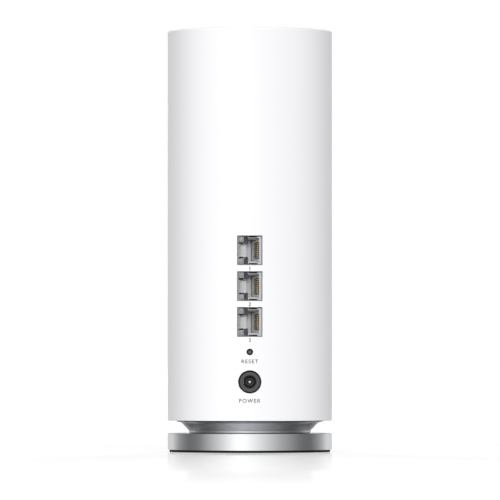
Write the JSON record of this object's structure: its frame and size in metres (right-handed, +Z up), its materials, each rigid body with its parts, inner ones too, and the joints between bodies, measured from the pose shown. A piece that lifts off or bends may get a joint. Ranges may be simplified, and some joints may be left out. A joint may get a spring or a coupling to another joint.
{
  "type": "mesh wifi node",
  "caption": "Upright cylindrical mesh Wi-Fi node on a turned metal foot, with network sockets, a reset pinhole and a power socket down its rear.",
  "frame": {"origin": "centre of the underside, on the surface that the foot stands on", "axes": "+Z up along the tube's axis, -Y the way the sockets face, +X to the right of someone who looks at the sockets"},
  "size_m": [0.09, 0.09, 0.2305],
  "materials": {
    "white_shell": "satin moulded white",
    "grey_plastic": "moulded grey",
    "dark_plastic": "moulded dark grey",
    "turned_aluminium": "turned and brushed round the axis",
    "plain_steel": "zinc plated",
    "foot_rubber": "matte black",
    "circuit_board": "green solder mask",
    "heatsink_aluminium": "extruded",
    "black_epoxy": "moulded black",
    "heat_pad": "soft blue-grey",
    "nickel_plate": "nickel plated sheet",
    "sleeve_plastic": "extruded dark",
    "socket_plastic": "moulded light grey",
    "gold_plate": "gold plated",
    "clear_lens": "cloudy clear"
  },
  "bodies": {
    "node": {"outer_shell": "white_shell", "top_cap": "white_shell", "bottom_cover": "grey_plastic", "neck_cone": "turned_aluminium", "base_disc": "turned_aluminium", "base_weight": "plain_steel", "base_plate": "dark_plastic", "foot_ring": "foot_rubber", "base_screw_1": "plain_steel", "base_screw_2": "plain_steel", "base_screw_3": "plain_steel", "chassis": "dark_plastic", "main_board": "circuit_board", "board_screw_1": "plain_steel", "board_screw_2": "plain_steel", "board_screw_3": "plain_steel", "board_screw_4": "plain_steel", "heatsink": "heatsink_aluminium", "processor": "black_epoxy", "processor_pad": "heat_pad", "radio_can_low": "nickel_plate", "radio_can_low_pad": "heat_pad", "radio_can_high": "nickel_plate", "radio_can_high_pad": "heat_pad", "line_transformer_1": "black_epoxy", "line_transformer_2": "black_epoxy", "line_transformer_3": "black_epoxy", "bulk_capacitor": "sleeve_plastic", "power_inductor": "black_epoxy", "socket_1_shield": "nickel_plate", "socket_1_insert": "socket_plastic", "socket_1_contacts": "gold_plate", "socket_1_lamp_upper": "clear_lens", "socket_1_lamp_lower": "clear_lens", "socket_2_shield": "nickel_plate", "socket_2_insert": "socket_plastic", "socket_2_contacts": "gold_plate", "socket_2_lamp_upper": "clear_lens", "socket_2_lamp_lower": "clear_lens", "socket_3_shield": "nickel_plate", "socket_3_insert": "socket_plastic", "socket_3_contacts": "gold_plate", "socket_3_lamp_upper": "clear_lens", "socket_3_lamp_lower": "clear_lens", "power_socket_body": "dark_plastic", "power_socket_pin": "nickel_plate", "power_socket_spring": "nickel_plate", "reset_switch": "black_epoxy", "status_lamp": "clear_lens", "light_guide": "clear_lens", "antenna_carrier": "dark_plastic", "antenna_1": "circuit_board", "antenna_2": "circuit_board", "antenna_3": "circuit_board", "antenna_4": "circuit_board", "antenna_lead_1": "sleeve_plastic", "antenna_lead_2": "sleeve_plastic", "antenna_lead_3": "sleeve_plastic", "antenna_lead_4": "sleeve_plastic"},
    "reset": {"reset_button": "grey_plastic"}
  },
  "joints": [
    {"name": "reset_press", "type": "slide", "parent": "node", "child": "reset", "axis": [0, 1, 0], "range_m": [0, 0.0005], "stiffness_N_per_m": 1000, "springref_m": -0.0003}
  ]
}
